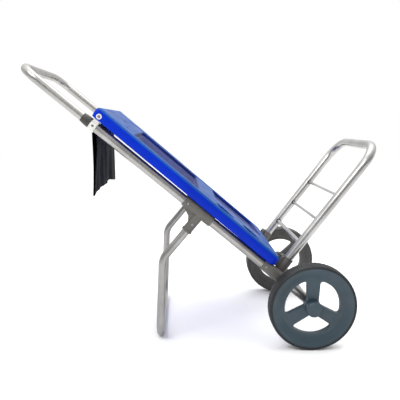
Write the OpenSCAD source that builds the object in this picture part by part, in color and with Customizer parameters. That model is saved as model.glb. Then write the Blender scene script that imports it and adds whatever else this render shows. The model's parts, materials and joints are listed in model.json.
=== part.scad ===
// Beach cart: two-wheeled aluminium-tube hand cart with a hinged table top,
// a folding load shelf, a telescoping handle and a hanging pouch.
// +Z is up, +X runs from the handle towards the wheels, +Y is the cart's left side.
// The origin is on the ground, in the middle of the cart's bounding box.

/* [Frame] */
// Slope of the main rails above the ground, degrees
slope = 39.5; // [36:0.5:42]
// Outside diameter of a main rail
rail_d = 28.6; // [28:0.2:30]
// Distance between the two rails' centre lines
rail_gap = 392; // [384:2:400]
// Distance from the axle to a rail's upper end
rail_top = 868; // [860:1:880]
// Wall of the frame tubes
tube_wall = 1; // [0.9:0.1:1]

/* [Handle] */
// Outside diameter of the handle tube
handle_d = 26.4; // [25:0.2:26.4]
// Distance from the axle to the handle's grip
handle_top = 1096; // [1060:2:1120]
// Bend radius of the handle's corners
handle_bend = 56; // [50:1:70]
// Length of handle tube inside a rail
handle_inside = 80; // [60:2:110]

/* [Table] */
// Distance from the axle to the table's lower end
table_low = 155; // [155:1:165]
// Distance from the axle to the table's upper end
table_high = 862; // [858:1:864]
// Width of the table
table_w = 426; // [426:1:428]
// Fall of the table's lower end below the rails' slope, degrees
table_fall = 0.5; // [0.4:0.1:0.6]
// Thickness of the table
table_t = 33; // [32:1:36]
// Height of the table's underside above the rails' centre line
table_base_h = 21; // [20.5:0.5:22]
// Depth of the trays in the table's top
tray_depth = 11; // [8:1:14]
// Depth of the cup holders in the table's top
cup_depth = 20; // [16:1:20]
// Diameter of a cup holder
cup_d = 70; // [60:2:76]

/* [Load shelf] */
// Outside diameter of the shelf tube
shelf_d = 28; // [27:0.5:28]
// Distance between the shelf tube's two sides
shelf_gap = 342; // [340:1:343]
// Distance from the axle to the foot of the shelf, along the rails
shelf_foot = 126; // [124:1:127]
// Lean of the shelf towards the table, degrees from square to the rails
shelf_lean = 2.9; // [2:0.1:4]
// Distance from the rails' centre line to the shelf's top bar
shelf_reach = 496; // [440:2:510]
// Bend radius of the shelf's corners
shelf_bend = 72; // [60:2:80]

/* [Stand] */
// Outside diameter of the stand tube
stand_d = 25; // [24:0.5:25]
// Distance from the axle to the stand's tees
tee_at = 436; // [430:1:445]
// Length of the stand from the rails' centre line to its knee
knee_drop = 182; // [175:1:190]
// Lean of the stand's legs, degrees from vertical
leg_lean = 2; // [0:0.5:4]
// Bend radius of the stand's knees and corners
stand_bend = 60; // [55:1:65]

/* [Wheels] */
// Outside diameter of a tyre
wheel_d = 266; // [262:1:268]
// Distance between the wheels' middle planes
track = 484; // [484:1:490]
// Width of a tyre
tyre_w = 46; // [44:1:46]
// Diameter of the axle
axle_d = 12; // [10:0.5:12]
// Turn of the left wheel from the right wheel, degrees
wheel_turn = 50; // [0:5:115]

/* [Pouch] */
// Width of the pouch
pouch_w = 344; // [330:2:344]
// Height of the pouch from its rod to its bottom edge
pouch_h = 210; // [180:2:220]
// Thickness of the empty pouch
pouch_t = 14; // [12:1:18]

/* [Hidden] */
$fn = 48;

SIDES = [-1, 1];
rail_r = rail_d / 2;
rail_y = rail_gap / 2;
handle_r = handle_d / 2;
shelf_r = shelf_d / 2;
shelf_y = shelf_gap / 2;
stand_r = stand_d / 2;
wheel_r = wheel_d / 2;
axle_r = axle_d / 2;

// Colours
ALUMINIUM = "silver";
STEEL = "gainsboro";
GREY_PLASTIC = "dimgray";
DARK_PLASTIC = "darkslategray";
WHITE_PLASTIC = "white";
BLUE_PLASTIC = "royalblue";

// Clearances: a turning fit, and the space between pieces that move past each other
turning_gap = 0.06;
moving_gap = 0.3;
cut = 1;

// Collars and brackets, as distances from the axle along a rail
collar_low = 850;
collar_high = 879;
bracket_mid = 839.5;
bracket_len = 20;
bracket_r = rail_r + 3;
boss_r = bracket_r + 0.2;
pivot_at = 841;
pivot_h = 32;
pivot_r = 3;
rod_at = 841;
rod_h = -3;
rod_r = 4;
tab_out = rail_y + 12.5;
tab_t = 8;

// Tee fittings
tee_r = rail_r + 3;
tee_low = 395;
tee_high = 500;
stem_r = stand_r + 2.5;
stem_len = 70;
stem_start = 20;

// Corner connectors and the shelf's hinge, in the shelf's own frame: up is along its tube
connector_low = 98;
connector_high = 190;
connector_r = rail_r + 3.5;
post_r = 17.4;
post_top = 44.2;
hinge_off = 20.8;
hinge_up = 56.5;
hinge_r = 2.5;
ear_r = 4.6;
ear_in = 6.5;
ear_t = 5;
knuckle_top = 62;
knuckle_r = shelf_r + 3;
bar_heights = [120, 211, 307];
lower_bar_r = 7;
rung_r = 4.8;
grommet_w = 2.5;

// Screws that face outwards: [along, up, radius of the surface, radius of the tube under it]
SCREWS = [[bracket_mid, 0, boss_r, rail_r], [tee_high - 14, 0, tee_r, rail_r],
          [tee_at, -42, stem_r, stand_r], [connector_high - 12, 0, connector_r, rail_r]];
screw_r = 1.8;

// Table
table_wall = 3;
table_corner_low = 26;
table_corner_high = 12;
table_mid = (table_low + table_high) / 2;
table_len = table_high - table_low;
table_round = 13;
skin_h = table_base_h + 5;

// Wheel, measured out from its middle plane
rim_r = 124;
spoke_hole_r = 85;
hub_r = 20;
hub_in = -27;
hub_out = 20;
bushing_r = 9;
cap_r = 23.5;
cap_low = 12.2;
cap_top = 32;
nut_r = 11;

// Points in the side view: [x, z] at a distance along the rails and a height above them
function rail_point(along, up) = [up * sin(slope) - along * cos(slope),
                                  wheel_r + along * sin(slope) + up * cos(slope)];
shelf_top_point = rail_point(shelf_foot + shelf_reach * sin(shelf_lean), shelf_reach * cos(shelf_lean));
front_x = shelf_top_point[0] + shelf_r;
rear_x = rail_point(handle_top, 0)[0] - handle_r;
middle_x = (front_x + rear_x) / 2;

knee = rail_point(tee_at, -knee_drop);
knee_angle = slope - leg_lean;
knee_tangent = stand_bend * tan(knee_angle / 2);
leg_len = (knee[1] - stand_r) / cos(leg_lean);
stand_x = knee[0] - leg_len * sin(leg_lean);

// ---- Placing ----

// Local x is down the rail, z is square to it, with the rail's centre line at z = 0
module on_rail(along, y, up) {
    translate([-middle_x, 0, wheel_r]) rotate([0, slope, 0]) translate([-along, y, up]) children();
}

// The same for the table, which turns about its pivots
module on_table(along, y, up) {
    on_rail(pivot_at, 0, pivot_h) rotate([0, table_fall, 0])
        translate([pivot_at - along, y, up - pivot_h]) children();
}

// Local z is up the shelf's tube, x is away from the table
module on_shelf(off, y, up) {
    on_rail(shelf_foot, 0, 0) rotate([0, -shelf_lean, 0]) translate([-off, y, up]) children();
}

// Local z is out of the cart along the axle, and y is up
module at_wheel(side) {
    translate([-middle_x, side * track / 2, wheel_r])
        mirror([0, side > 0 ? 1 : 0, 0]) rotate([90, 0, 0])
            rotate([0, 0, side > 0 ? -wheel_turn : 0]) children();
}

// ---- Shapes ----

module tube_section(r, wall) {
    difference() {
        circle(r);
        circle(r - wall);
    }
}

// A U of tube: its cross bar lies along y at x = 0 and its legs run towards -x
module u_tube(half_w, bend, leg, r) {
    rotate([90, 0, 0]) linear_extrude(2 * (half_w - bend), center = true) tube_section(r, tube_wall);
    for (side = SIDES) {
        translate([-bend, side * (half_w - bend), 0]) rotate([0, 0, side > 0 ? 0 : -90])
            rotate_extrude(angle = 90) translate([bend, 0]) tube_section(r, tube_wall);
        translate([-bend, side * half_w, 0]) rotate([0, -90, 0])
            linear_extrude(leg) tube_section(r, tube_wall);
    }
}

module ring(r_out, r_in, h) {
    difference() {
        cylinder(r = r_out, h = h);
        translate([0, 0, -cut]) cylinder(r = r_in, h = h + 2 * cut);
    }
}

// Local z along y, out of the cart on the given side
module facing_out(side) {
    rotate([side > 0 ? -90 : 90, 0, 0]) children();
}

// A domed screw from a surface into the tube under it
module screw(place, side) {
    shank = place[2] - place[3] + tube_wall;
    color(STEEL) on_rail(place[0], side * (rail_y + place[2]), place[1]) facing_out(side) {
        cylinder(r1 = 3.8, r2 = 2.6, h = 1.8);
        translate([0, 0, -shank]) cylinder(r = screw_r, h = shank);
    }
}

// Holes for one side's screws
module screw_holes(side) {
    for (place = SCREWS) on_rail(place[0], side * (rail_y + place[3] / 2), place[1]) facing_out(side)
        cylinder(r = screw_r, h = rail_r);
}

// ---- Frame ----

module rail(side) {
    color(ALUMINIUM) difference() {
        on_rail(-18, side * rail_y, 0) rotate([0, -90, 0]) cylinder(r = rail_r, h = rail_top + 18);
        on_rail(-18 - cut, side * rail_y, 0) rotate([0, -90, 0])
            cylinder(r = rail_r - tube_wall, h = rail_top + 18 + 2 * cut);
        on_rail(0, side * rail_y, 0) rotate([90, 0, 0]) cylinder(r = axle_r, h = rail_d + 2, center = true);
        screw_holes(side);
    }
}

module rail_plugs() {
    color(DARK_PLASTIC) for (side = SIDES) {
        on_rail(-18, side * rail_y, 0) rotate([0, 90, 0]) cylinder(r = rail_r, h = 2.5);
        on_rail(-18, side * rail_y, 0) rotate([0, -90, 0]) cylinder(r = rail_r - tube_wall, h = 9);
    }
}

module collar(side) {
    bore_r = handle_r + 0.08;
    profile = [[bore_r, 18], [rail_r, 18], [rail_r, 0], [rail_r + 1.6, 0], [rail_r + 0.9, 18],
               [rail_r - 0.4, 28], [bore_r + 0.4, 29], [bore_r, 29]];
    color(DARK_PLASTIC) on_rail(collar_low, side * rail_y, 0) rotate([0, -90, 0])
        rotate_extrude() polygon(profile);
}

module bracket(side) {
    inner_y = rail_y - 22;
    color(WHITE_PLASTIC) difference() {
        union() {
            on_rail(bracket_mid - bracket_len / 2, side * rail_y, 0) rotate([0, -90, 0])
                cylinder(r = bracket_r, h = bracket_len);
            on_rail(bracket_mid, side * (rail_y + boss_r / 2), -2)
                cube([bracket_len - 3, boss_r, 20], center = true);
            on_rail(bracket_mid, side * (tab_out - tab_t / 2), pivot_h / 2)
                cube([17, tab_t, pivot_h], center = true);
            on_rail(pivot_at - 1.5, side * (tab_out - tab_t / 2), pivot_h) rotate([90, 0, 0])
                cylinder(r = 8.5, h = tab_t, center = true);
            on_rail(rod_at, side * inner_y, rod_h) facing_out(side) cylinder(r = 7.5, h = 10);
        }
        on_rail(bracket_mid - bracket_len, side * rail_y, 0) rotate([0, -90, 0])
            cylinder(r = rail_r, h = 2 * bracket_len);
        on_rail(pivot_at, side * rail_y, pivot_h) facing_out(side) cylinder(r = pivot_r, h = 20);
        on_rail(rod_at, side * (inner_y - cut), rod_h) facing_out(side) cylinder(r = rod_r, h = 9);
        screw_holes(side);
    }
}

module bracket_screws() {
    for (side = SIDES) screw(SCREWS[0], side);
}

module pivot_bolts() {
    head_y = table_w / 2 + 1.7;
    color(STEEL) for (side = SIDES) {
        on_rail(pivot_at, side * (tab_out - tab_t), pivot_h) facing_out(side)
            cylinder(r = pivot_r, h = head_y - tab_out + tab_t + 0.5);
        on_rail(pivot_at, side * head_y, pivot_h) facing_out(side) cylinder(r1 = 4.4, r2 = 3.4, h = 2);
    }
}

module pivot_washers() {
    color(WHITE_PLASTIC) for (side = SIDES)
        on_rail(pivot_at, side * (table_w / 2 + 0.4), pivot_h) facing_out(side) ring(8, pivot_r, 1.3);
}

module pouch_rod() {
    color(STEEL) on_rail(rod_at, 0, rod_h) rotate([90, 0, 0])
        cylinder(r = rod_r, h = 2 * (rail_y - 15), center = true);
}

module tee(side) {
    gusset = [[tee_high - 4, -tee_r + 3], [tee_at + 25, -30], [tee_at + 14, -46], [tee_at + 12.6, -60],
              [tee_at, -60], [tee_at, -tee_r + 3]];
    color(GREY_PLASTIC) difference() {
        union() {
            on_rail(tee_low, side * rail_y, 0) rotate([0, -90, 0])
                cylinder(r = tee_r, h = tee_high - tee_low);
            on_rail(tee_at, side * rail_y, -stem_len) cylinder(r = stem_r, h = stem_len - 5);
            on_rail(tee_at, side * rail_y, -stem_len) cylinder(r = stem_r + 1.6, h = 6);
            on_rail(0, side * rail_y, 0) rotate([90, 0, 0]) linear_extrude(12, center = true)
                polygon([for (p = gusset) [-p[0], p[1]]]);
        }
        on_rail(tee_low - cut, side * rail_y, 0) rotate([0, -90, 0])
            cylinder(r = rail_r, h = tee_high - tee_low + 2 * cut);
        on_rail(tee_at, side * rail_y, -stem_len - cut)
            cylinder(r = stand_r, h = stem_len - stem_start + cut);
        screw_holes(side);
    }
}

module tee_screws() {
    for (side = SIDES, i = [1, 2]) screw(SCREWS[i], side);
}

// The stand: a U on the ground whose legs bend at the knee; their upper ends are swaged to enter the tees
module stand_tube() {
    straight = leg_len - knee_tangent - stand_bend;
    upper = knee_drop - knee_tangent - stem_start;
    swage = 0.1;
    translate([stand_x - middle_x, 0, stand_r]) rotate([0, leg_lean, 0]) {
        rotate([0, 90, 0]) u_tube(rail_y, stand_bend, straight, stand_r);
        for (side = SIDES)
            translate([stand_bend, side * rail_y, leg_len - knee_tangent]) rotate([90, 0, 0]) {
                mirror([1, 0, 0]) rotate_extrude(angle = knee_angle)
                    translate([stand_bend, 0]) tube_section(stand_r, tube_wall);
                rotate([0, 0, -knee_angle]) translate([-stand_bend, -0.5, 0]) rotate([-90, 0, 0])
                    linear_extrude(upper + 0.5) tube_section(stand_r - swage, tube_wall - 2 * swage);
            }
    }
}

module stand() {
    color(ALUMINIUM) difference() {
        stand_tube();
        for (side = SIDES) screw_holes(side);
    }
}

module connector(side) {
    foot_y = side * shelf_y;
    color(GREY_PLASTIC) difference() {
        union() {
            on_rail(connector_low, side * rail_y, 0) rotate([0, -90, 0])
                cylinder(r = connector_r, h = connector_high - connector_low);
            on_shelf(0, foot_y, -14) cylinder(r = post_r, h = post_top + 14);
            on_shelf(0, side * (shelf_y + rail_y) / 2, 1)
                cube([2 * post_r, rail_y - shelf_y, 30], center = true);
            for (ear = SIDES) on_shelf(hinge_off, foot_y + ear * (ear_in + ear_t / 2), hinge_up) {
                rotate([90, 0, 0]) cylinder(r = ear_r, h = ear_t, center = true);
                translate([0, 0, -18]) cube([2 * ear_r, ear_t, 36], center = true);
                translate([6, 0, -24]) cube([14, ear_t, 23], center = true);
            }
        }
        on_rail(connector_low - cut, side * rail_y, 0) rotate([0, -90, 0])
            cylinder(r = rail_r, h = connector_high - connector_low + 2 * cut);
        on_shelf(hinge_off, foot_y, hinge_up) rotate([90, 0, 0])
            cylinder(r = hinge_r, h = 3 * (ear_in + ear_t), center = true);
        screw_holes(side);
    }
}

module connector_screws() {
    for (side = SIDES) screw(SCREWS[3], side);
}

module hinge_pins() {
    color(STEEL) for (side = SIDES)
        on_shelf(hinge_off, side * shelf_y, hinge_up) rotate([90, 0, 0])
            cylinder(r = hinge_r, h = 2 * (ear_in + ear_t) + 1.6, center = true);
}

module table_pads() {
    at = connector_high - 14;
    under = pivot_h + (skin_h - pivot_h) * cos(table_fall) - (pivot_at - at + 7) * sin(table_fall);
    color(DARK_PLASTIC) for (side = SIDES) on_rail(at, side * rail_y, connector_r)
        cylinder(r = 7, h = under - moving_gap - connector_r);
}

module axle() {
    color(STEEL) translate([-middle_x, 0, wheel_r]) rotate([90, 0, 0])
        cylinder(r = axle_r, h = track + 2 * 25, center = true);
}

module axle_spacers() {
    start = rail_y + rail_r;
    color(STEEL) for (side = SIDES) translate([-middle_x, side * start, wheel_r]) facing_out(side)
        ring(10, axle_r, track / 2 + hub_in - moving_gap - start);
}

module push_nuts() {
    color(STEEL) for (side = SIDES)
        translate([-middle_x, side * (track / 2 + hub_out + moving_gap), wheel_r]) facing_out(side)
            ring(nut_r, axle_r, 2.5);
}

// ---- Handle ----

module handle_tube() {
    leg = handle_top - handle_bend - rail_top + handle_inside;
    color(ALUMINIUM) on_rail(handle_top, 0, 0) rotate([0, 0, 180])
        u_tube(rail_y, handle_bend, leg, handle_r);
}

module handle_guides() {
    low = rail_top - handle_inside;
    color(DARK_PLASTIC) for (side = SIDES) {
        on_rail(low, side * rail_y, 0) rotate([0, 90, 0]) cylinder(r = rail_r - tube_wall - 0.08, h = 8);
        on_rail(low, side * rail_y, 0) rotate([0, -90, 0]) cylinder(r = handle_r - tube_wall, h = 12);
    }
}

// ---- Table ----

function corner_arc(x, y, r, from) = [for (a = [from : 15 : from + 90]) [x + r * cos(a), y + r * sin(a)]];

// Outline of a rectangle with one corner radius at its +x end and another at its -x end
function rounded_outline(l, w, r_plus, r_minus) = concat(
    corner_arc(l / 2 - r_plus, w / 2 - r_plus, r_plus, 0),
    corner_arc(r_minus - l / 2, w / 2 - r_minus, r_minus, 90),
    corner_arc(r_minus - l / 2, r_minus - w / 2, r_minus, 180),
    corner_arc(l / 2 - r_plus, r_plus - w / 2, r_plus, 270));

// Plan of the table in the rails' plane, pulled in by inset
module table_plan(inset) {
    polygon(rounded_outline(table_len - 2 * inset, table_w - 2 * inset,
                            max(table_corner_low - inset, 2), max(table_corner_high - inset, 2)));
}

// Solid between two heights, with rounded upper edges
module table_block(inset, low, high, round_r) {
    hull() {
        on_table(table_mid, 0, low) linear_extrude(high - low - round_r) table_plan(inset);
        for (a = [30, 60, 90])
            on_table(table_mid, 0, low) linear_extrude(high - low - round_r * (1 - sin(a)))
                table_plan(inset + round_r * (1 - cos(a)));
    }
}

// The trays in the table's top, each [along from, along to, y from, y to], and the cup holders, [along, y]
TRAYS = [[480, 738, -168, 168], [200, 404, -30, 184]];
CUPS = [[376, -150], [268, -150]];
tray_corner = 14;

// The trays and cup holders, made larger by grow and reaching the given distance above the table's top
module table_hollows(grow, above) {
    top = table_base_h + table_t;
    for (tray = TRAYS)
        on_table((tray[0] + tray[1]) / 2, (tray[2] + tray[3]) / 2, top - tray_depth - grow)
            linear_extrude(tray_depth + grow + above)
                polygon(rounded_outline(tray[1] - tray[0] + 2 * grow, tray[3] - tray[2] + 2 * grow,
                                        tray_corner + grow, tray_corner + grow));
    for (cup = CUPS) on_table(cup[0], cup[1], top - cup_depth - grow)
        cylinder(d = cup_d + 2 * grow, h = cup_depth + grow + above);
}

module table_top() {
    top = table_base_h + table_t;
    color(BLUE_PLASTIC) difference() {
        table_block(0, table_base_h, top, table_round);
        difference() {
            table_block(table_wall, table_base_h - cut, top - table_wall, table_round - table_wall);
            table_hollows(table_wall, 0);
        }
        table_hollows(0, cut);
        on_rail(pivot_at, 0, pivot_h) rotate([90, 0, 0])
            cylinder(r = pivot_r + turning_gap, h = table_w + 2, center = true);
        for (side = SIDES) {
            on_table(table_high, side * (rail_y - 4), table_base_h)
                cube([2 * table_corner_high, 34, 20], center = true);
            on_table(table_low, side * rail_y, table_base_h) cube([60, 26, 9], center = true);
        }
    }
}

module table_base() {
    notch = 60;
    color(BLUE_PLASTIC) difference() {
        on_table(table_mid, 0, skin_h) linear_extrude(3) table_plan(table_wall + 0.05);
        for (side = SIDES) on_table(table_high, side * (rail_y - 4), skin_h)
            cube([2 * notch, 60, 20], center = true);
    }
}

// ---- Load shelf ----

module shelf_tube() {
    tube_foot = 47;
    color(ALUMINIUM) difference() {
        on_shelf(0, 0, shelf_reach) rotate([0, -90, 0])
            u_tube(shelf_y, shelf_bend, shelf_reach - shelf_bend - tube_foot, shelf_r);
        shelf_bar(bar_heights[0], lower_bar_r);
        shelf_bar(bar_heights[1], rung_r);
        shelf_bar(bar_heights[2], rung_r);
    }
}

module shelf_bar(up, r) {
    on_shelf(0, 0, up) rotate([90, 0, 0]) cylinder(r = r, h = 2 * (shelf_y - shelf_r + 4), center = true);
}

module shelf_lower_bar() {
    color(ALUMINIUM) shelf_bar(bar_heights[0], lower_bar_r);
}

module shelf_rungs() {
    color(ALUMINIUM) for (i = [1, 2]) shelf_bar(bar_heights[i], rung_r);
}

module shelf_grommets() {
    color(DARK_PLASTIC) for (side = SIDES, i = [0 : 2]) {
        bar_r = i == 0 ? lower_bar_r : rung_r;
        on_shelf(0, side * (shelf_y - shelf_r - grommet_w), bar_heights[i]) facing_out(side)
            ring(bar_r + 2.4, bar_r, grommet_w);
    }
}

module knuckle(side) {
    foot_y = side * shelf_y;
    low = post_top + moving_gap;
    color(GREY_PLASTIC) difference() {
        union() {
            on_shelf(0, foot_y, low) cylinder(r = knuckle_r, h = knuckle_top - low);
            on_shelf(hinge_off, foot_y, hinge_up) rotate([90, 0, 0])
                cylinder(r = ear_r, h = 2 * (ear_in - moving_gap), center = true);
            on_shelf(hinge_off - 6, foot_y, hinge_up)
                cube([12, 2 * (ear_in - moving_gap), 2 * ear_r], center = true);
        }
        on_shelf(0, foot_y, 47) cylinder(r = shelf_r, h = knuckle_top);
        on_shelf(hinge_off, foot_y, hinge_up) rotate([90, 0, 0])
            cylinder(r = hinge_r + turning_gap, h = 4 * ear_in, center = true);
    }
}

// ---- Wheels ----

// Flat outline of the opening between two spokes, centred on +x
module spoke_opening() {
    offset(r = 8) offset(delta = -8) difference() {
        intersection() {
            circle(spoke_hole_r, $fn = 96);
            polygon([[0, 0], [120 * cos(60), 120 * sin(60)], [140, 0], [120 * cos(60), -120 * sin(60)]]);
        }
        circle(hub_r + 5);
        for (side = SIDES) rotate(60 * side) polygon([[0, -16], [100, -21], [100, 21], [0, 16]]);
    }
}

module wheel(side) {
    face = [[hub_r - 1, -8], [hub_r - 1, 9], [94, 9], [106, 15], [114, 19], [rim_r, 21],
            [rim_r, -21], [118, -21], [106, -12], [96, -8]];
    color("slategray") at_wheel(side) difference() {
        union() {
            rotate_extrude($fn = 96) polygon(face);
            translate([0, 0, hub_in]) cylinder(r = hub_r, h = hub_out - hub_in);
        }
        translate([0, 0, hub_in - cut]) cylinder(r = bushing_r, h = hub_out - hub_in + 2 * cut);
        for (i = [0 : 2]) rotate([0, 0, 30 + 120 * i]) translate([0, 0, -30])
            linear_extrude(60) spoke_opening();
    }
}

module tyre(side) {
    half = tyre_w / 2;
    shoulder = 7;
    round_x = wheel_r - shoulder;
    round_z = half - shoulder;
    outer = [for (a = [90 : -15 : 0]) [round_x + shoulder * cos(a), round_z + shoulder * sin(a)]];
    inner = [for (a = [0 : 15 : 90]) [round_x + shoulder * cos(a), -round_z - shoulder * sin(a)]];
    profile = concat([[rim_r, half]], outer, inner, [[rim_r, -half]]);
    color("black") at_wheel(side) rotate_extrude($fn = 96) polygon(profile);
}

module bushing(side) {
    color(WHITE_PLASTIC) at_wheel(side) translate([0, 0, hub_in])
        ring(bushing_r, axle_r + turning_gap, hub_out - hub_in);
}

module hub_cap(side) {
    color("slategray") at_wheel(side) difference() {
        union() {
            translate([0, 0, cap_low]) cylinder(r = cap_r, h = cap_top - cap_low - 3);
            translate([0, 0, cap_top - 3]) cylinder(r1 = cap_r, r2 = cap_r - 3, h = 3);
        }
        translate([0, 0, cap_low - cut]) cylinder(r = hub_r, h = cap_top - cap_low - 3 + cut);
    }
}

// ---- Pouch ----

module pouch() {
    hem_r = 9;
    color("black") on_rail(rod_at, 0, rod_h) rotate([0, -slope, 0]) rotate([90, 0, 0])
        linear_extrude(pouch_w, center = true) difference() {
            union() {
                circle(hem_r);
                translate([-pouch_t / 2, -pouch_h]) square([pouch_t, pouch_h]);
            }
            circle(rod_r + moving_gap);
        }
}

rail(1);  // rail_left
rail(-1);  // rail_right
rail_plugs();
collar(1);  // collar_left
collar(-1);  // collar_right
bracket(1);  // bracket_left
bracket(-1);  // bracket_right
bracket_screws();
pivot_bolts();
pivot_washers();
pouch_rod();
tee(1);  // tee_left
tee(-1);  // tee_right
tee_screws();
stand();
connector(1);  // connector_left
connector(-1);  // connector_right
connector_screws();
hinge_pins();
table_pads();
axle();
axle_spacers();
push_nuts();
handle_tube();
handle_guides();
table_top();
table_base();
shelf_tube();
shelf_lower_bar();
shelf_rungs();
shelf_grommets();
knuckle(1);  // knuckle_left
knuckle(-1);  // knuckle_right
wheel(1);  // wheel_left
wheel(-1);  // wheel_right
tyre(1);  // tyre_left
tyre(-1);  // tyre_right
bushing(1);  // bushing_left
bushing(-1);  // bushing_right
hub_cap(1);  // hub_cap_left
hub_cap(-1);  // hub_cap_right
pouch();
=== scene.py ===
"""Looks of the beach cart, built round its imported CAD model. Metres, in the model's own frame."""
import json
import math

import bpy
import numpy as np
from mathutils import Matrix, Vector


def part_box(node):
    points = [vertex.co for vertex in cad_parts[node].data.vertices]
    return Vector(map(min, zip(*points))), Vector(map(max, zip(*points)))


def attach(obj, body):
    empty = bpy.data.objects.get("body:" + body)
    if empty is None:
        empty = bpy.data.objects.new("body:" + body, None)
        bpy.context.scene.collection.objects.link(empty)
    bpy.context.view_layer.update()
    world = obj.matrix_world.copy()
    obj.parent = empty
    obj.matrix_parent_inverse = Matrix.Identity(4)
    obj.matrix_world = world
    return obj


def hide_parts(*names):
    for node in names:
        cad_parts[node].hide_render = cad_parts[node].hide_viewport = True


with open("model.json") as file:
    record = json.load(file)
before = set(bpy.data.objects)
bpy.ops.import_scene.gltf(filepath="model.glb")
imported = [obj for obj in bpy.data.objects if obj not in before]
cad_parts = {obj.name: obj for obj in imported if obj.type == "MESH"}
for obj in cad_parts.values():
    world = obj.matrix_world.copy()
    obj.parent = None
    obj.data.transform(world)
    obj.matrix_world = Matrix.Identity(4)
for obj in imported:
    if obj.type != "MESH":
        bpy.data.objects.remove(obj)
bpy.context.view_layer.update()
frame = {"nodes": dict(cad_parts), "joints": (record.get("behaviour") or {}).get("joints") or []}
nodes = frame["nodes"]
joints = {j["name"]: j for j in frame["joints"]}
AXLE = Vector(joints["right_wheel_turn"]["pos_m"])
DOWN_RAIL = Vector(joints["handle_slide"]["axis"])
SLOPE = math.atan2(-DOWN_RAIL.z, DOWN_RAIL.x)
TABLE_PIVOT = Vector(joints["table_tilt"]["pos_m"])
TABLE_SLOPE = SLOPE + math.radians(0.5)
PIVOT_AT, PIVOT_H = 0.841, 0.032


def on_table(along, y, up):
    """A point on the table: a distance up the rails from the axle, a sideways place and a height.

    The table falls half a degree more than the rails, turned about its pivots."""
    x, z = PIVOT_AT - along, up - PIVOT_H
    c, s = math.cos(TABLE_SLOPE), math.sin(TABLE_SLOPE)
    return TABLE_PIVOT + Vector((x * c + z * s, y, z * c - x * s))


def smooth(t):
    t = np.clip(t, 0, 1)
    return t * t * (3 - 2 * t)


def add_mesh(name, verts, faces, materials, shade=True):
    mesh = bpy.data.meshes.new(name)
    mesh.from_pydata([tuple(v) for v in verts], [], [tuple(int(i) for i in f) for f in faces])
    mesh.validate()
    obj = bpy.data.objects.new(name, mesh)
    bpy.context.scene.collection.objects.link(obj)
    for m in materials:
        mesh.materials.append(m)
    mesh.polygons.foreach_set("use_smooth", [shade] * len(mesh.polygons))
    return obj


# ---- Materials ----

def rgb(r, g, b):
    """An sRGB colour from 0 to 255 as linear values."""
    shares = (r / 255, g / 255, b / 255)
    return (*[c / 12.92 if c <= 0.04045 else ((c + 0.055) / 1.055) ** 2.4 for c in shares], 1)


class Look:
    """A node material: a base colour that varies, a roughness that varies and a fine bump."""

    def __init__(self, name, colour, rough, metal=0.0, **sockets):
        self.m = bpy.data.materials.new(name)
        self.m.use_nodes = True
        self.nt = self.m.node_tree
        self.s = self.nt.nodes["Principled BSDF"]
        self.s.inputs["Base Color"].default_value = colour
        self.s.inputs["Roughness"].default_value = rough
        self.s.inputs["Metallic"].default_value = metal
        for key, value in sockets.items():
            self.s.inputs[key.replace("_", " ")].default_value = value
        self.m.diffuse_color = colour
        self.height = None

    def node(self, kind, **values):
        n = self.nt.nodes.new(kind)
        for key, value in values.items():
            if key in n.inputs:
                n.inputs[key].default_value = value
            else:
                setattr(n, key, value)
        return n

    def link(self, a, out, b, into):
        self.nt.links.new(a.outputs[out], b.inputs[into])

    def coords(self, scale=(1, 1, 1), rotation=(0, 0, 0)):
        at = self.node("ShaderNodeTexCoord")
        place = self.node("ShaderNodeMapping", Scale=scale, Rotation=rotation)
        self.link(at, "Object", place, "Vector")
        return place

    def noise(self, scale, detail=3.0, stretch=(1, 1, 1), rotation=(0, 0, 0)):
        n = self.node("ShaderNodeTexNoise", Scale=scale, Detail=detail)
        self.link(self.coords(stretch, rotation), "Vector", n, "Vector")
        return n

    def ramp(self, source, out, low, high, a, b):
        r = self.node("ShaderNodeMapRange")
        for key, value in (("From Min", low), ("From Max", high), ("To Min", a), ("To Max", b)):
            r.inputs[key].default_value = value
        self.link(source, out, r, "Value")
        return r

    def vary_colour(self, source, out, colour_a, colour_b, low=0.35, high=0.65):
        mix = self.node("ShaderNodeMix", data_type="RGBA")
        mix.inputs[6].default_value = colour_a
        mix.inputs[7].default_value = colour_b
        self.nt.links.new(self.ramp(source, out, low, high, 0, 1).outputs[0], mix.inputs[0])
        self.nt.links.new(mix.outputs[2], self.s.inputs["Base Color"])

    def vary_rough(self, source, out, a, b, low=0.3, high=0.7):
        self.nt.links.new(self.ramp(source, out, low, high, a, b).outputs[0], self.s.inputs["Roughness"])

    def bump(self, source, out, distance, strength=1.0):
        b = self.node("ShaderNodeBump", Strength=strength, Distance=distance)
        self.link(source, out, b, "Height")
        if self.height:
            self.link(self.height, "Normal", b, "Normal")
        self.height = b
        self.link(b, "Normal", self.s, "Normal")


def brushed_tube(name, colour, dark, rough, direction):
    """Satin tube: long draw lines along it and a faint mottle. direction is its angle about Y."""
    look = Look(name, colour, rough, metal=1.0)
    lines = look.noise(55, 4, stretch=(0.25, 14, 14), rotation=(0, direction, 0))
    cloud = look.noise(9, 3)
    look.vary_colour(cloud, "Fac", colour, dark)
    look.vary_rough(lines, "Fac", rough - 0.05, rough + 0.08)
    look.bump(lines, "Fac", 0.00005, 0.25)
    return look.m


def moulded(name, colour, shade, rough, grain=900.0, depth=0.00008, **sockets):
    """Moulded plastic: a slight colour drift, a fine grain and uneven gloss."""
    look = Look(name, colour, rough, **sockets)
    cloud = look.noise(7, 4)
    fine = look.noise(grain, 2)
    look.vary_colour(cloud, "Fac", colour, shade)
    look.vary_rough(look.noise(30, 3), "Fac", rough - 0.06, rough + 0.08)
    look.bump(fine, "Fac", depth, 0.4)
    return look.m


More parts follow.
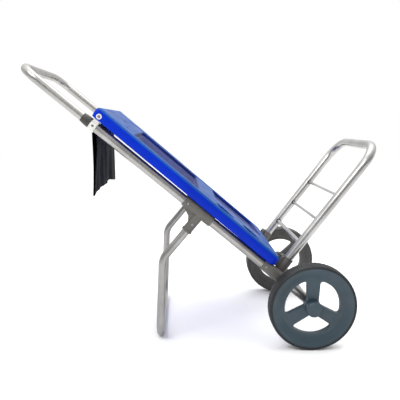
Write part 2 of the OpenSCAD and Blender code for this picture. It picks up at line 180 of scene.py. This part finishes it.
RAIL_ANGLE = -SLOPE
TUBE = brushed_tube("rail_aluminium", rgb(168, 166, 164), rgb(146, 144, 141), 0.36, RAIL_ANGLE)
HANDLE = brushed_tube("handle_aluminium", rgb(172, 170, 167), rgb(150, 148, 145), 0.34, RAIL_ANGLE)
SHELF = brushed_tube("shelf_aluminium", rgb(182, 181, 180), rgb(160, 159, 158), 0.3, math.radians(-53))
STAND = brushed_tube("stand_aluminium", rgb(164, 163, 161), rgb(144, 142, 140), 0.36, math.radians(88))
STEEL = brushed_tube("zinc_steel", rgb(160, 160, 162), rgb(130, 130, 134), 0.36, 0)
GREY = moulded("grey_moulding", rgb(92, 89, 85), rgb(76, 74, 71), 0.52, 1400)
DARK = moulded("charcoal_moulding", rgb(48, 46, 44), rgb(36, 35, 34), 0.5, 1400)
WHITE = moulded("white_nylon", rgb(214, 212, 208), rgb(194, 192, 189), 0.42, 1200)
RUBBER = moulded("black_rubber", rgb(22, 22, 22), rgb(14, 14, 14), 0.75, 800)
RIM = moulded("slate_rim", rgb(46, 65, 76), rgb(36, 53, 63), 0.5, 900, 0.00012)
# painted light: the far wheel's rim and hub cap are a lighter, neutral grey copy of the slate rim
FAR_RIM_PAINTED_LIGHT = moulded("far_rim_painted_light", rgb(76, 75, 74), rgb(62, 61, 60), 0.55, 900, 0.00012)
TYRE = moulded("near_black_tyre", rgb(10, 17, 23), rgb(6, 11, 16), 0.6, 700, 0.00015)
# painted light: the far tyre is a lighter grey copy of the near-black tyre
FAR_TYRE_PAINTED_LIGHT = moulded("far_tyre_painted_light", rgb(66, 66, 66), rgb(52, 52, 52), 0.62, 700, 0.00015)
# the table's grain: its scale, and its depth in metres
SHEET_GRAIN = (260, 0.00025)
BLUE = moulded("royal_blue_sheet", rgb(0, 42, 178), rgb(0, 36, 162), 0.42, *SHEET_GRAIN,
              Specular_IOR_Level=0.1)
# painted sheen: the table's top is the same royal blue sheet, given a lighter teal copy of its colour
TOP_PAINTED_SHEEN = moulded("table_top_painted_sheen", rgb(0, 72, 148), rgb(0, 62, 132), 0.42, *SHEET_GRAIN,
                   Specular_IOR_Level=0.15)
# painted shade: a darker navy copy of the blue, laid on the floors of the trays and cup holders
RECESS_PAINTED_SHADE = moulded("recess_painted_shade", rgb(0, 28, 104), rgb(0, 20, 86), 0.46, *SHEET_GRAIN, Specular_IOR_Level=0.1)


def nylon():
    """Coated black nylon: a fine plain weave and faint creases."""
    look = Look("black_nylon", rgb(5, 8, 12), 0.72, Specular_IOR_Level=0.15)
    weft = look.node("ShaderNodeTexWave", Scale=420.0, Distortion=0.6, bands_direction="Z")
    warp = look.node("ShaderNodeTexWave", Scale=420.0, Distortion=0.6, bands_direction="Y")
    place = look.coords()
    look.link(place, "Vector", weft, "Vector")
    look.link(place, "Vector", warp, "Vector")
    crease = look.noise(26, 5, stretch=(1, 3.5, 0.8))
    look.vary_colour(crease, "Fac", rgb(13, 17, 23), rgb(5, 8, 12))
    look.bump(weft, "Fac", 0.00012, 0.5)
    look.bump(warp, "Fac", 0.00012, 0.5)
    look.bump(crease, "Fac", 0.002, 0.5)
    return look.m


NYLON = nylon()

FINISH = {
    "rail_left": TUBE, "rail_right": TUBE, "handle_tube": HANDLE, "stand": STAND,
    "shelf_tube": SHELF, "shelf_lower_bar": SHELF, "shelf_rungs": SHELF, "rail_plugs": DARK,
    "collar_left": DARK, "collar_right": DARK, "handle_guides": DARK, "bracket_left": WHITE,
    "bracket_right": WHITE, "pivot_washers": WHITE, "bushing_left": WHITE, "bushing_right": WHITE,
    "tee_left": GREY, "tee_right": GREY, "connector_left": GREY, "connector_right": GREY,
    "knuckle_left": GREY, "shelf_grommets": DARK,
    "knuckle_right": GREY, "table_pads": RUBBER, "table_top": BLUE,
    "table_base": BLUE, "wheel_right": RIM, "hub_cap_right": RIM, "wheel_left": FAR_RIM_PAINTED_LIGHT,
    "hub_cap_left": FAR_RIM_PAINTED_LIGHT, "tyre_right": TYRE, "tyre_left": FAR_TYRE_PAINTED_LIGHT, "pouch": NYLON,
}
for name, obj in nodes.items():
    obj.data.materials.clear()
    obj.data.materials.append(FINISH.get(name, STEEL))


# ---- Table top: one moulded sheet with trays, cup holders and a rounded rim ----

LOW, HIGH, HALF_W = 0.155, 0.862, 0.213
BASE_H, TOP_H, ROUND = 0.021, 0.054, 0.013
CORNER_LOW, CORNER_HIGH = 0.026, 0.012
TRAYS = ((0.480, 0.738, -0.168, 0.168), (0.200, 0.404, -0.030, 0.184))
TRAY_CORNER, TRAY_DEPTH = 0.014, 0.011
CUPS_AT, CUP_Y, CUP_R, CUP_DEPTH = (0.376, 0.268), -0.150, 0.035, 0.020
RIB_DEPTH, RIB_PITCH = 0.0009, 0.016
# notches in the skirt, over the brackets and the connectors: place along, sideways range and height
NOTCH_HIGH_FROM, NOTCH_HIGH_Y, NOTCH_HIGH_UP = 0.851, 0.1745, 0.0312
NOTCH_LOW_TO, NOTCH_LOW_Y, NOTCH_LOW_UP = 0.187, 0.1825, 0.0257
NOTCH_OUT_Y = 0.2092


def inside_box(s, y, s0, s1, y0, y1, r):
    """Distance in from the edge of a rounded rectangle, above 0 inside it."""
    qs = np.abs(s - (s0 + s1) / 2) - (s1 - s0) / 2 + r
    qy = np.abs(y - (y0 + y1) / 2) - (y1 - y0) / 2 + r
    return r - np.hypot(np.maximum(qs, 0), np.maximum(qy, 0)) - np.minimum(np.maximum(qs, qy), 0)


def half_width(s):
    """Half of the table's width at s, narrower in its rounded corners."""
    w = np.full_like(s, HALF_W)
    for end, r, sign in ((LOW, CORNER_LOW, 1), (HIGH, CORNER_HIGH, -1)):
        d = (s - end) * sign
        w = np.where(d < r, HALF_W - r + np.sqrt(np.maximum(r * r - (r - d) ** 2, 0)), w)
    return w


def table_height(s, y):
    """Height of the table's upper face, and a mask of the floors of the trays and cup holders, which take
    the painted shade.
    """
    edge = np.minimum(HALF_W - np.abs(y), np.minimum(s - LOW, HIGH - s))
    for end, r, sign in ((LOW, CORNER_LOW, 1), (HIGH, CORNER_HIGH, -1)):
        ds = r - (s - end) * sign
        dy = r - (HALF_W - np.abs(y))
        edge = np.where((ds > 0) & (dy > 0), r - np.hypot(ds, dy), edge)
    in_r = np.clip(1 - edge / ROUND, 0, 1)
    h = TOP_H - ROUND * (1 - np.sqrt(1 - in_r ** 2))
    mask = np.zeros_like(h)
    for tray, across in zip(TRAYS, (y, s)):
        inside = inside_box(s, y, *tray, TRAY_CORNER)
        rib = RIB_DEPTH * (0.5 + 0.5 * np.cos(across / RIB_PITCH * 2 * np.pi))
        h -= smooth(inside / 0.005) * TRAY_DEPTH - rib * smooth((inside - 0.012) / 0.004)
        mask = np.maximum(mask, inside > 0.0005)
    for cup_at in CUPS_AT:
        d = CUP_R - np.hypot(s - cup_at, y - CUP_Y)
        h -= smooth(d / 0.004) * CUP_DEPTH
        mask = np.maximum(mask, d > 0.0005)
    # a shallow field inside the rim, and a small raised pad at the upper end
    field = inside_box(s, y, 0.180, 0.800 - 0.05 * (y / HALF_W) ** 2, -0.196, 0.196, 0.02)
    h -= 0.0018 * smooth(field / 0.003) * (1 - mask)
    grip = inside_box(s, y, 0.763, 0.786, -0.140, -0.080, 0.011)
    h += 0.0016 * smooth(grip / 0.004)
    return h, mask


def make_table():
    ns, nt = 330, 200
    u = np.linspace(-1, 1, ns)
    s = (LOW + HIGH) / 2 + (HIGH - LOW) / 2 * (0.86 * u + 0.14 * np.sin(u * np.pi / 2))
    s[0], s[-1] = LOW, HIGH
    t = np.linspace(-1, 1, nt)
    t = 0.86 * t + 0.14 * np.sin(t * np.pi / 2)
    t[0], t[-1] = -1, 1
    w = half_width(s)
    S = np.repeat(s[:, None], nt, 1)
    Y = w[:, None] * t[None, :]
    h, mask = table_height(S, Y)
    verts = [on_table(a, b, c) for a, b, c in zip(S.ravel(), Y.ravel(), h.ravel())]
    index = np.arange(ns * nt).reshape(ns, nt)
    quads = np.stack([index[:-1, :-1], index[:-1, 1:], index[1:, 1:], index[1:, :-1]], -1).reshape(-1, 4)
    # faces on the floors of the trays and cup holders take slot 2, the painted shade; the rest of the top
    # takes slot 1, the painted sheen
    centre_mask = mask[:-1, :-1] + mask[1:, 1:]
    slots = list(np.where(centre_mask.ravel() > 1.0, 2, 1))
    edge_h = (h[:-1, :-1] + h[1:, 1:]).ravel() / 2
    # faces down the rounded edge go back to slot 0, the plain royal blue, so the painted sheen stays on the
    # flat top
    slots = [0 if e < TOP_H - 0.0075 and m == 1 else m for e, m in zip(edge_h, slots)]
    faces = [tuple(q) for q in quads]
    rim = list(index[0, :]) + list(index[1:, -1]) + list(index[-1, -2::-1]) + list(index[-2:0:-1, 0])
    flat = [(S.ravel()[i], Y.ravel()[i], h.ravel()[i]) for i in rim]
    middle = (LOW + HIGH) / 2

    def loop(inset, up):
        """The rim's outline pulled in and set at a height, raised in the notches."""
        out = []
        for a, b, _ in flat:
            ka = 1 - inset / ((HIGH - LOW) / 2)
            kb = 1 - inset / HALF_W
            low = NOTCH_HIGH_UP if a > NOTCH_HIGH_FROM and NOTCH_HIGH_Y < abs(b * kb) < NOTCH_OUT_Y else 0
            if a < NOTCH_LOW_TO and NOTCH_LOW_Y < abs(b * kb) < NOTCH_OUT_Y:
                low = NOTCH_LOW_UP
            out.append((middle + (a - middle) * ka, b * kb, max(up, low)))
        return out

    rows = [loop(0, 0.034), loop(0, 0.0225), loop(0.0004, 0.0214), loop(0.0012, 0.021), loop(0.003, 0.021),
            loop(0.0032, 0.0262)]
    last = rim
    for row in rows:
        start = len(verts)
        verts += [on_table(*p) for p in row]
        now = list(range(start, start + len(row)))
        for k in range(len(row)):
            n = (k + 1) % len(row)
            faces.append((last[k], now[k], now[n], last[n]))
            slots.append(0)
        last = now
    obj = add_mesh("table_moulding", verts, faces, [BLUE, TOP_PAINTED_SHEEN, RECESS_PAINTED_SHADE])
    obj.data.polygons.foreach_set("material_index", [int(x) for x in slots])
    bpy.context.view_layer.update()
    return obj


table = make_table()
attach(table, "table")
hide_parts("table_top")


# ---- Tyres: a flat tread with fine grooves, a rounded shoulder and a stepped side wall ----

def make_tyre(name, side, material):
    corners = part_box("tyre_left" if side > 0 else "tyre_right")
    middle = side * (abs(corners[0].y) + abs(corners[1].y)) / 2
    # points of half the section: distance from the axle, and from the wheel's middle plane
    out = [(0.1242, 0.0228), (0.1255, 0.0230), (0.1262, 0.0224), (0.1270, 0.0230), (0.1282, 0.0228),
           (0.1305, 0.0210), (0.1320, 0.0180), (0.1326, 0.0150), (0.1329, 0.0120), (0.1329, 0.0104),
           (0.1316, 0.0098), (0.1316, 0.0088), (0.1330, 0.0082), (0.1330, 0.0020), (0.1318, 0.0014),
           (0.1318, 0)]
    profile = out + [(r, -z) for r, z in out[-2::-1]]
    steps = 240
    verts, faces = [], []
    for i in range(steps):
        a = 2 * math.pi * i / steps
        for r, z in profile:
            dip = 0.0009 if r > 0.1310 and 0.0118 < abs(z) and i % 4 == 0 else 0
            d = r - dip
            verts.append(Vector((AXLE.x + d * math.cos(a), middle + z, AXLE.z + d * math.sin(a))))
    n = len(profile)
    for i in range(steps):
        j = (i + 1) % steps
        for k in range(n):
            m = (k + 1) % n
            faces.append((i * n + k, i * n + m, j * n + m, j * n + k))
    return add_mesh(name, verts, faces, [material])


for side, word, material in ((1, "left", FAR_TYRE_PAINTED_LIGHT), (-1, "right", TYRE)):
    tread = make_tyre(f"tread_{word}", side, material)
    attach(tread, f"{word}_wheel")
    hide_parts(f"tyre_{word}")


# ---- Pouch: one cloth folded over the rod, down, round the bottom and up again ----

ROD = Vector(joints["pouch_swing"]["pos_m"])
POUCH_HALF = 0.171


def make_pouch():
    across, down = 120, 70
    drop = 0.207
    hem_r = 0.0068
    turns = [math.radians(-60 + 300 * k / 14) for k in range(14, -1, -1)]
    verts, faces = [], []
    ys = np.linspace(-POUCH_HALF, POUCH_HALF, across + 1)
    rows = []
    for y in ys:
        q = (y / POUCH_HALF + 1) / 2
        # the bottom edge hangs lowest at the near corner and rises quickly from it
        sag = 0.017 * (1 - math.exp(-9 * q)) - 0.009 * float(smooth((q - 0.75) / 0.25))
        length = drop - sag
        fold = 0.0022 * math.sin(q * 15 + 0.6) + 0.0013 * math.sin(q * 37 + 1.9)
        lean = 0.002 * math.sin(q * 7) - 0.010 * math.exp(-5 * q)
        row = []
        for v in np.linspace(1, 0, down):
            deep = smooth(v * 1.4)
            puff = 0.0030 + 0.0018 * math.sin(q * 9 + 2 + 3 * v) * deep
            x = -puff - 0.0035 * (1 - deep) + (fold + lean * v) * deep
            row.append((x, -0.006 - (length - 0.006) * v))
        for a in turns:
            row.append((math.cos(a) * hem_r, math.sin(a) * hem_r))
        for v in np.linspace(0, 1, down):
            deep = smooth(v * 1.4)
            puff = 0.0030 + 0.0018 * math.sin(q * 11 + 1 + 2.5 * v) * deep
            x = puff + 0.0035 * (1 - deep) + (fold + lean * v) * deep
            row.append((x, -0.006 - (length - 0.006) * v))
        rows.append(row)
    n = len(rows[0])
    for y, row in zip(ys, rows):
        for x, z in row:
            verts.append(ROD + Vector((x, y, z)))
    for i in range(len(rows) - 1):
        for k in range(n):
            m = (k + 1) % n
            faces.append((i * n + k, i * n + m, (i + 1) * n + m, (i + 1) * n + k))
    obj = add_mesh("pouch_cloth", verts, faces, [NYLON])
    thick = obj.modifiers.new("cloth", "SOLIDIFY")
    thick.thickness = 0.0008
    thick.offset = 1
    return obj


pouch = make_pouch()
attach(pouch, "pouch_body")
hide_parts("pouch")


# ---- Floor, light and camera ----

floor_mat = Look("pale_floor", rgb(250, 250, 250), 0.9).m
FLOOR_HALF, FLOOR_Z = 6, -0.0005
corners = [(x * FLOOR_HALF, y * FLOOR_HALF, FLOOR_Z) for x, y in ((-1, -1), (1, -1), (1, 1), (-1, 1))]
floor = add_mesh("floor", corners, [(0, 1, 2, 3)], [floor_mat], False)

world = bpy.context.scene.world or bpy.data.worlds.new("studio")
bpy.context.scene.world = world
world.use_nodes = True
sky = world.node_tree
toward = sky.nodes.new("ShaderNodeTexCoord")
parts = sky.nodes.new("ShaderNodeSeparateXYZ")
sky.links.new(toward.outputs["Generated"], parts.inputs[0])


def sky_ramp(axis, low, high, a, b):
    ramp = sky.nodes.new("ShaderNodeMapRange")
    for key, value in (("From Min", low), ("From Max", high), ("To Min", a), ("To Max", b)):
        ramp.inputs[key].default_value = value
    sky.links.new(parts.outputs[axis], ramp.inputs["Value"])
    return ramp


# white behind the cart and overhead, darker behind the camera so the tubes keep their shape
both = sky.nodes.new("ShaderNodeMath")
both.operation = "ADD"
sky.links.new(sky_ramp("Y", -0.5, 0.15, 0.35, 1.0).outputs[0], both.inputs[0])
sky.links.new(sky_ramp("Z", 0.3, 0.75, 0.0, 0.75).outputs[0], both.inputs[1])
sky.links.new(both.outputs[0], sky.nodes["Background"].inputs["Strength"])
sky.nodes["Background"].inputs["Color"].default_value = (1, 1, 1, 1)
bpy.context.scene.view_settings.view_transform = "Standard"


def soft_light(name, at, target, size, power):
    data = bpy.data.lights.new(name, "AREA")
    data.shape = "RECTANGLE"
    data.size, data.size_y = size
    data.energy = power
    obj = bpy.data.objects.new(name, data)
    bpy.context.scene.collection.objects.link(obj)
    obj.location = at
    obj.rotation_euler = (Vector(target) - Vector(at)).to_track_quat("-Z", "Y").to_euler()
    return obj


soft_light("key", (-1.2, -1.8, 2.6), (0, 0, 0.4), (1.6, 1.2), 40)
soft_light("top", (0.3, 0.4, 3.0), (0, 0, 0.4), (2.5, 2.0), 35)

YAW, PITCH, ROLL = math.radians(2.20), math.radians(9.70), math.radians(0.43)
look = Vector((math.sin(YAW) * math.cos(PITCH), math.cos(YAW) * math.cos(PITCH), -math.sin(PITCH)))
right = Vector((math.cos(YAW), -math.sin(YAW), 0))
up = right.cross(look)
right, up = right * math.cos(ROLL) + up * math.sin(ROLL), -right * math.sin(ROLL) + up * math.cos(ROLL)
cam_data = bpy.data.cameras.new("camera")
cam_data.lens = 41.13
cam_data.sensor_width = 36
camera = bpy.data.objects.new("camera", cam_data)
bpy.context.scene.collection.objects.link(camera)
place = Matrix((right, up, -look)).transposed().to_4x4()
place.translation = AXLE + Vector((-0.3915, -1.5372, 0.5471))
camera.matrix_world = place
bpy.context.scene.camera = camera
